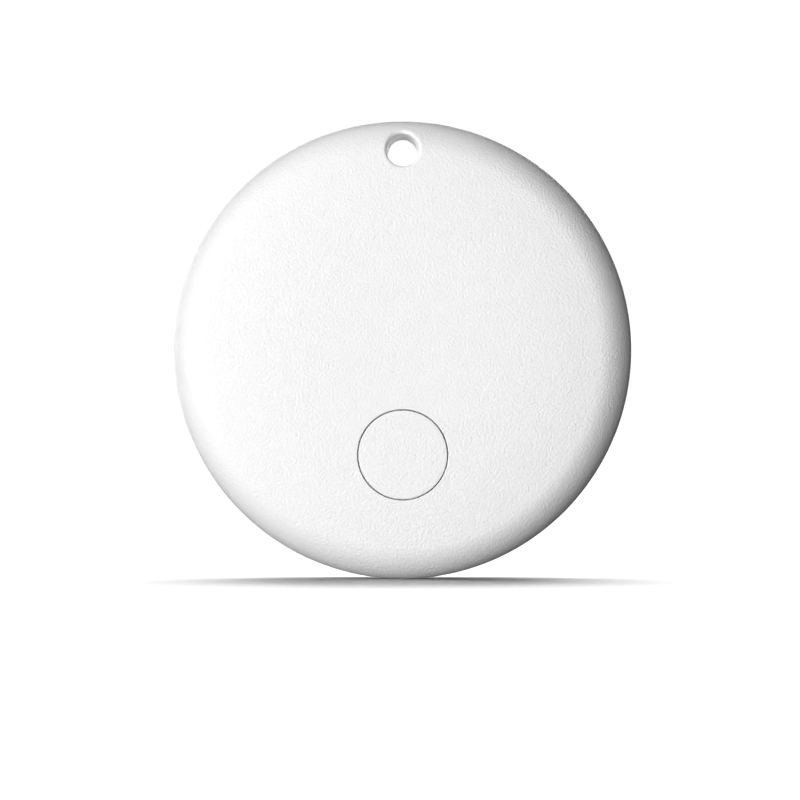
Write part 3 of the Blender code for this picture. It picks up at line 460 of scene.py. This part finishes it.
def turned(bm, profile, segments=SEGMENTS, closed=True):
    """Adds the surface of revolution of a (radius, height) profile to bm. Points on the axis are
    shared, and a closed profile's last point joins its first."""
    rings = []
    for r, z in profile:
        if r == 0:
            rings.append([bm.verts.new((0, 0, z))] * segments)
            continue
        rings.append([bm.verts.new((x, y, z)) for x, y in circle(r, segments)])
    pairs = list(zip(rings, rings[1:])) + ([(rings[-1], rings[0])] if closed else [])
    for before, after in pairs:
        for i in range(segments):
            j = (i + 1) % segments
            corners = list(dict.fromkeys((before[i], before[j], after[j], after[i])))
            if len(corners) > 2:
                bm.faces.new(corners)


def arc_block(bm, inner, outer, low, high, middle, angle, steps=12):
    """A block bent round Z; low and high are heights, or functions of the angle from its middle."""
    rings = []
    for step in range(steps + 1):
        offset = angle * (step / steps - 0.5)
        turn = math.radians(middle + offset)
        bottom = low(offset) if callable(low) else low
        top = high(offset) if callable(high) else high
        corners = ((inner, bottom), (outer, bottom), (outer, top), (inner, top))
        rings.append([bm.verts.new((r * math.cos(turn), r * math.sin(turn), z)) for r, z in corners])
    bm.faces.new(rings[0])
    bm.faces.new(rings[-1][::-1])
    for before, after in zip(rings, rings[1:]):
        bridge(bm, before, after)


# ======== Pieces ========
def turn_outwards(bm, up):
    """Makes an open skin's faces look outwards: up is 1 for the front of the tag, -1 for its back."""
    bmesh.ops.recalc_face_normals(bm, faces=bm.faces)
    if sum(f.normal.z * f.calc_area() for f in bm.faces) * up < 0:
        bmesh.ops.reverse_faces(bm, faces=bm.faces)


def piece(name, bm, body, replaced, slot, finish, sharp=35.0):
    """A finished piece in the row frame that rides on a body and stands for a CAD node."""
    mesh = bpy.data.meshes.new(name)
    bm.to_mesh(mesh)
    bm.free()
    mesh.transform(STAND_UP)
    mesh.shade_smooth()
    mesh.set_sharp_from_angle(angle=math.radians(sharp))
    mesh.materials.append(finish)
    made = bpy.data.objects.new(name, mesh)
    bpy.context.scene.collection.objects.link(made)
    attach(made, body)
    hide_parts(*replaced)
    return made


def solid_piece(name, bm, *rest, **more):
    """A piece whose mesh is already closed: its seams are welded and its faces look outwards."""
    bmesh.ops.remove_doubles(bm, verts=bm.verts, dist=WELD)
    bmesh.ops.recalc_face_normals(bm, faces=bm.faces)
    return piece(name, bm, *rest, **more)


def skin_piece(name, bm, up, replaced, finish):
    """A piece made of an open skin, which a Solidify modifier gives its wall."""
    turn_outwards(bm, up)
    made = piece(name, bm, "case", replaced, "shell_plastic", finish)
    wall = made.modifiers.new("wall", "SOLIDIFY")
    wall.thickness = SKIN
    wall.offset = -1
    return made


def front_case(finish):
    """The front shell: dome, rounded edge down to the seam, keyring hole and button opening."""
    seam = SEAM + SEAM_GAP / 2
    behind = rear_outline(seam, EQUATOR, CURL_STEPS)
    outline = Outline(front_outline() + behind[-2::-1])
    bore = circle_at(HOLE_Y, HOLE_RADIUS, HOLE_STEPS)
    hole = Opening(outline, bore, HOLE_LIP, seam, HOLE_DRAFT)
    wall = circle_at(BUTTON_Y, BUTTON_RADIUS + BUTTON_GAP, BUTTON_STEPS)
    opening = Opening(outline, wall, FINE_LIP, BUTTON_SEAT, rows=3)
    bm = skin_mesh(outline, [hole, opening], edge=outline.arc_of(RADIUS - EDGE_INSET))
    return skin_piece("front_case", bm, 1, ["front_shell"], finish)


def rear_case(finish):
    """The rear shell's skin, from the wall of the door's recess over the flat land to the seam."""
    seam = SEAM - SEAM_GAP / 2
    points = [(RECESS_RADIUS, SHELF)]
    points += quarter(RECESS_RADIUS + RIM_LIP, RIM_LIP, -RIM_LIP, -RIM_LIP)
    outline = Outline(points + rear_outline(0.0, seam, EDGE_STEPS))
    bore = circle_at(HOLE_Y, HOLE_RADIUS - HOLE_DRAFT, HOLE_STEPS)
    hole = Opening(outline, bore, HOLE_LIP, seam, inside=-1)
    bm = skin_mesh(outline, [hole], start=REAR_START, spacing=REAR_SPACING)
    return skin_piece("rear_case", bm, -1, ["rear_shell"], finish)


def helix(height):
    """A helical face: its height at an angle in degrees from its middle."""
    return lambda offset: height + HELIX_RISE * offset


def bayonets():
    return (FIRST_BAYONET + copy * 360.0 / BAYONETS for copy in range(BAYONETS))


def battery_bay(finish):
    """The wall behind the door: the seal's shelf, the lugs' channel, the ledges and the cell guide."""
    profile = [
        (BAY_RADIUS, SHELF),
        (CHANNEL_RADIUS, SHELF),
        (CHANNEL_RADIUS, GUIDE_START),
        (GUIDE_INNER + SMALL_CHAMFER, GUIDE_START),
        (GUIDE_INNER, GUIDE_START + SMALL_CHAMFER),
        (GUIDE_INNER, GUIDE_FLOOR),
        (GUIDE_STOP_RADIUS, GUIDE_FLOOR),
        (GUIDE_STOP_RADIUS, GUIDE_END),
        (GUIDE_OUTER, GUIDE_END),
        (GUIDE_OUTER, BAY_TOP),
        (BAY_RADIUS, BAY_TOP),
    ]
    bm = bmesh.new()
    turned(bm, profile)
    for middle in bayonets():
        arc_block(bm, middle=middle, high=helix(LEDGE_TOP), **LEDGE)
    return solid_piece("battery_bay", bm, "case", ["rear_shell"], "shell_plastic", finish)


def button(finish):
    """The push button: its top follows the dome, and its edge is just broken."""
    outline = Outline(front_outline())
    top_radius = BUTTON_RADIUS - FINE_LIP
    bm = bmesh.new()

    def ring(rho, height=None, sink=0.0):
        verts = []
        for x, up in circle(rho, BUTTON_STEPS):
            y = BUTTON_Y + up
            z = outline.height(math.hypot(x, y)) - sink if height is None else height
            verts.append(bm.verts.new((x, y, z)))
        return verts

    rings = [ring(top_radius * i / BUTTON_RINGS) for i in range(1, BUTTON_RINGS + 1)]
    for rho, drop in quarter(top_radius, FINE_LIP, FINE_LIP, -FINE_LIP, 4)[-2::-1]:
        rings.append(ring(rho, sink=drop))
    rings.append(ring(BUTTON_RADIUS, BUTTON_FLANGE_TOP))
    rings.append(ring(BUTTON_FLANGE, BUTTON_FLANGE_TOP))
    rings.append(ring(BUTTON_FLANGE, BUTTON_BOTTOM))
    middle = bm.verts.new((0, BUTTON_Y, outline.height(abs(BUTTON_Y))))
    for i in range(BUTTON_STEPS):
        bm.faces.new((middle, rings[0][i], rings[0][(i + 1) % BUTTON_STEPS]))
    for before, after in zip(rings, rings[1:]):
        bridge(bm, before, after)
    bm.faces.new(rings[-1])
    return solid_piece("button", bm, "button", ["button_cap"], "shell_plastic", finish)


def door(finish):
    """The battery door: coin slot, rim, shoulder, skirt and the three lugs."""
    rim = quarter(DOOR_RADIUS - RIM_LIP, DOOR_FACE + RIM_LIP, RIM_LIP, -RIM_LIP)[::-1]
    outline = Outline([(0.0, DOOR_FACE)] + rim)
    slot = Opening(
        outline, stadium(*SLOT, 16), RIM_LIP, DOOR_FACE + SLOT_DEPTH, inside=-1, floor=True
    )
    rim_start = DOOR_RADIUS - 2 * RIM_LIP
    bm = skin_mesh(outline, [slot], 0.0, DOOR_SPACING, DOOR_EDGE_SPACING, rim_start)
    inside = [
        rim[-1],
        (DOOR_RADIUS, DOOR_INSIDE),
        (DOOR_SHOULDER_RADIUS, DOOR_INSIDE),
        (DOOR_SHOULDER_RADIUS, DOOR_SHOULDER),
        (SKIRT_OUTER, DOOR_SHOULDER),
        (SKIRT_OUTER, SKIRT_END - SKIRT_CHAMFER),
        (SKIRT_OUTER - SKIRT_CHAMFER, SKIRT_END),
        (SKIRT_INNER + SKIRT_CHAMFER, SKIRT_END),
        (SKIRT_INNER, SKIRT_END - SKIRT_CHAMFER),
        (SKIRT_INNER, DOOR_INSIDE),
        (0.0, DOOR_INSIDE),
    ]
    turned(bm, inside, closed=False)
    for middle in bayonets():
        arc_block(bm, middle=middle, low=helix(LUG_BACK), **LUG)
    return solid_piece("door", bm, "battery_door", ["battery_door"], "shell_plastic", finish)


def seal(finish):
    """The O-ring round the door's shoulder."""
    middle = back_high.y - (seal_low.y + seal_high.y) / 2
    thick = (seal_high.y - seal_low.y) / 2
    centre = (seal_high.x - seal_low.x) / 2 - thick
    bm = bmesh.new()
    turned(bm, [(centre + out, middle + up) for out, up in circle(thick, SEAL_STEPS)])
    return solid_piece("seal_ring", bm, "door_seal", ["door_seal"], "seal_rubber", finish, sharp=80)


# ======== Materials ========
def new_material(name, colour, roughness, metallic=0.0, specular=0.5):
    made = bpy.data.materials.new(name)
    made.use_nodes = True
    shader = made.node_tree.nodes["Principled BSDF"]
    shader.inputs["Base Color"].default_value = (*colour, 1.0)
    shader.inputs["Roughness"].default_value = roughness
    shader.inputs["Metallic"].default_value = metallic
    shader.inputs["Specular IOR Level"].default_value = specular
    return made, made.node_tree, shader


def noise(tree, coords, size, detail=2.0, roughness=0.5):
    """A noise whose features are about size across."""
    node = tree.nodes.new("ShaderNodeTexNoise")
    node.inputs["Scale"].default_value = 1 / size
    node.inputs["Detail"].default_value = detail
    node.inputs["Roughness"].default_value = roughness
    tree.links.new(coords.outputs["Object"], node.inputs["Vector"])
    return node


def map_range(tree, source, low, high, to_low, to_high):
    node = tree.nodes.new("ShaderNodeMapRange")
    for name, value in (("From Min", low), ("From Max", high), ("To Min", to_low), ("To Max", to_high)):
        node.inputs[name].default_value = value
    tree.links.new(source, node.inputs["Value"])
    return node.outputs["Result"]


def bump(tree, height, distance, strength, under=None):
    node = tree.nodes.new("ShaderNodeBump")
    node.inputs["Distance"].default_value = distance
    node.inputs["Strength"].default_value = strength
    tree.links.new(height, node.inputs["Height"])
    if under:
        tree.links.new(under.outputs["Normal"], node.inputs["Normal"])
    return node


def eroded_plastic(name, colour):
    """White moulded plastic from a spark-eroded mould: a fine pebbled grain over a softer ripple, with
    painted shade that darkens the colour in the ripple's hollows.
    """
    made, tree, shader = new_material(name, colour, 0.5, specular=0.4)
    coords = tree.nodes.new("ShaderNodeTexCoord")
    grain = noise(tree, coords, GRAIN_SIZE, detail=1.0, roughness=0.6)
    ripple = noise(tree, coords, RIPPLE_SIZE, detail=1.0)
    soft = bump(tree, ripple.outputs["Fac"], RIPPLE_DEPTH, RIPPLE_STRENGTH)
    fine = bump(tree, grain.outputs["Fac"], GRAIN_DEPTH, 1.0, under=soft)
    tree.links.new(fine.outputs["Normal"], shader.inputs["Normal"])
    rough = map_range(tree, grain.outputs["Fac"], 0.3, 0.7, *WHITE_ROUGHNESS)
    tree.links.new(rough, shader.inputs["Roughness"])
    # Painted shade: the colour darkens where the ripple's bump sinks, in its hollows.
    tint = tree.nodes.new("ShaderNodeMix")
    tint.data_type = "RGBA"
    tint.inputs["A"].default_value = (*[c * RIPPLE_HOLLOW_SHADE for c in colour], 1.0)
    tint.inputs["B"].default_value = (*colour, 1.0)
    tree.links.new(map_range(tree, ripple.outputs["Fac"], 0.35, 0.65, 0, 1), tint.inputs["Factor"])
    tree.links.new(tint.outputs["Result"], shader.inputs["Base Color"])
    return made


def speckled(name, colour, roughness, size, metallic=0.0, depth=0.15, height=0.002 * MM):
    """A small part's surface: mottled colour and roughness, with a faint bump of the same grain."""
    made, tree, shader = new_material(name, colour, roughness, metallic)
    coords = tree.nodes.new("ShaderNodeTexCoord")
    grain = noise(tree, coords, size, detail=4.0)
    tint = tree.nodes.new("ShaderNodeMix")
    tint.data_type = "RGBA"
    tint.inputs["A"].default_value = (*[c * (1 - depth) for c in colour], 1.0)
    tint.inputs["B"].default_value = (*[min(1.0, c * (1 + depth)) for c in colour], 1.0)
    tree.links.new(grain.outputs["Fac"], tint.inputs["Factor"])
    tree.links.new(tint.outputs["Result"], shader.inputs["Base Color"])
    rough = map_range(tree, grain.outputs["Fac"], 0.3, 0.7, roughness * 0.8, min(1.0, roughness * 1.2))
    tree.links.new(rough, shader.inputs["Roughness"])
    fine = bump(tree, grain.outputs["Fac"], height, 0.5)
    tree.links.new(fine.outputs["Normal"], shader.inputs["Normal"])
    return made


def inner_materials():
    """Finishes of the CAD nodes inside the case, by the record's material slot."""
    return {
        "board_laminate": speckled("solder_mask", (0.015, 0.14, 0.07), 0.35, 0.5 * MM),
        "chip_resin": speckled("moulded_resin", (0.03, 0.03, 0.034), 0.5, 0.1 * MM),
        "tin_plate": speckled("tinned_sheet", (0.70, 0.70, 0.68), 0.3, 0.4 * MM, 1.0),
        "spring_steel": speckled("bright_steel", (0.68, 0.67, 0.64), 0.25, 0.6 * MM, 1.0, 0.06),
        "gold_plate": speckled("gold_plating", (0.83, 0.60, 0.25), 0.25, 0.3 * MM, 1.0, 0.08),
        "brass_plate": speckled("rolled_brass", (0.75, 0.57, 0.27), 0.3, 0.7 * MM, 1.0, 0.08),
        "copper_wire": speckled("enamelled_copper", (0.65, 0.30, 0.15), 0.3, 0.15 * MM, 1.0),
        "ceramic": speckled("fired_ceramic", (0.78, 0.74, 0.66), 0.5, 0.2 * MM),
        "capacitor_ceramic": speckled("capacitor_body", (0.46, 0.33, 0.22), 0.5, 0.15 * MM),
        "tape": speckled("bonding_tape", (0.72, 0.72, 0.70), 0.7, 0.3 * MM),
        "switch_plastic": speckled("switch_resin", (0.08, 0.08, 0.08), 0.5, 0.12 * MM),
        "seal_rubber": speckled("black_rubber", (0.03, 0.03, 0.032), 0.55, 0.2 * MM),
        "cell_cathode_mass": speckled("pressed_powder", (0.07, 0.07, 0.075), 0.9, 0.1 * MM),
        "cell_anode_metal": speckled("soft_metal", (0.66, 0.66, 0.65), 0.4, 0.5 * MM, 1.0),
    }


def dress_cad_nodes(finishes):
    slots = {part["node"]: part["material_slot"] for part in frame["record"]["subparts"]}
    for name, node in frame["nodes"].items():
        finish = finishes.get(slots[name])
        if finish:
            node.data.materials.clear()
            node.data.materials.append(finish)


# ======== Stage ========
def emitter(name, strength):
    made = bpy.data.materials.new(name)
    made.use_nodes = True
    tree = made.node_tree
    tree.nodes.clear()
    glow = tree.nodes.new("ShaderNodeEmission")
    glow.inputs["Strength"].default_value = strength
    out = tree.nodes.new("ShaderNodeOutputMaterial")
    tree.links.new(glow.outputs[0], out.inputs["Surface"])
    return made


def stage():
    """A pale floor under the tag, and a white backdrop all round that lights nothing."""
    bpy.ops.mesh.primitive_circle_add(vertices=96, radius=FLOOR_RADIUS, fill_type="NGON")
    floor = bpy.context.object
    floor.name = "floor"
    floor.location = (0, 0, cad_low.z)
    floor.data.materials.append(new_material("pale_floor", FLOOR_COLOUR, 0.9, specular=0.0)[0])
    bpy.ops.mesh.primitive_uv_sphere_add(segments=64, ring_count=32, radius=BACKDROP_RADIUS)
    backdrop = bpy.context.object
    backdrop.name = "backdrop"
    backdrop.data.materials.append(emitter("backdrop_white", BACKDROP_GLOW))
    for surface in (floor, backdrop):
        surface.visible_diffuse = False
        surface.visible_glossy = False
        surface.visible_shadow = False
    backdrop.visible_transmission = False
    return floor


def only_lights(lamp, target, state):
    """Light linking: the lamp lights only the target (INCLUDE) or all but the target (EXCLUDE)."""
    receivers = bpy.data.collections.new(lamp.name + "_receivers")
    receivers.objects.link(target)
    receivers.collection_objects[0].light_linking.link_state = state
    lamp.light_linking.receiver_collection = receivers


def new_lamp(name, kind, energy):
    data = bpy.data.lights.new(name, kind)
    data.energy = energy
    lamp = bpy.data.objects.new(name, data)
    bpy.context.scene.collection.objects.link(lamp)
    return lamp


def soft_box(name, azimuth, elevation, power):
    """A square soft box aimed at the tag. Azimuth 0 is in front of it, and -90 at its left."""
    turn, rise = math.radians(azimuth), math.radians(elevation)
    out = Vector((math.sin(turn) * math.cos(rise), -math.cos(turn) * math.cos(rise), math.sin(rise)))
    lamp = new_lamp(name, "AREA", power)
    lamp.data.size = BOX_SIZE
    lamp.location = Vector((0, 0, CENTRE_Z)) + out * BOX_DISTANCE
    lamp.rotation_mode = "QUATERNION"
    lamp.rotation_quaternion = out.to_track_quat("Z", "Y")
    return lamp


def floor_lights():
    """The long strip high behind the tag that casts its shadow, and a haze from the same side."""
    strip = new_lamp("strip", "AREA", STRIP_POWER)
    strip.data.shape = "RECTANGLE"
    strip.data.size, strip.data.size_y = STRIP_SIZE
    strip.location = (0, STRIP_BEHIND, cad_low.z + STRIP_HEIGHT)
    haze = new_lamp("haze", "SUN", HAZE)
    haze.data.angle = math.radians(HAZE_SPREAD)
    haze.rotation_euler = (math.radians(HAZE_TILT), 0, 0)
    return strip, haze


def lights(floor):
    for name, azimuth, elevation, power in SOFT_BOXES:
        only_lights(soft_box(name, azimuth, elevation, power), floor, "EXCLUDE")
    for lamp in floor_lights():
        only_lights(lamp, floor, "INCLUDE")
    world = bpy.data.worlds.new("studio")
    world.use_nodes = True
    background = world.node_tree.nodes["Background"]
    background.inputs["Color"].default_value = (1, 1, 1, 1)
    background.inputs["Strength"].default_value = AMBIENT
    bpy.context.scene.world = world


def camera():
    data = bpy.data.cameras.new("camera")
    data.lens = LENS
    data.sensor_width = SENSOR
    data.clip_start, data.clip_end = 0.01, 10
    made = bpy.data.objects.new("camera", data)
    bpy.context.scene.collection.objects.link(made)
    made.location = (-CAMERA_LEFT, -CAMERA_DISTANCE, CENTRE_Z - CAMERA_DROP)
    made.rotation_euler = (math.pi / 2, 0, 0)
    bpy.context.scene.camera = made


def main():
    bpy.context.scene.view_settings.view_transform = "Standard"
    camera()
    white = eroded_plastic("eroded_white", WHITE)
    finishes = inner_materials()
    dress_cad_nodes(finishes)
    front_case(white)
    rear_case(white)
    battery_bay(white)
    button(white)
    door(white)
    seal(finishes["seal_rubber"])
    lights(stage())


main()
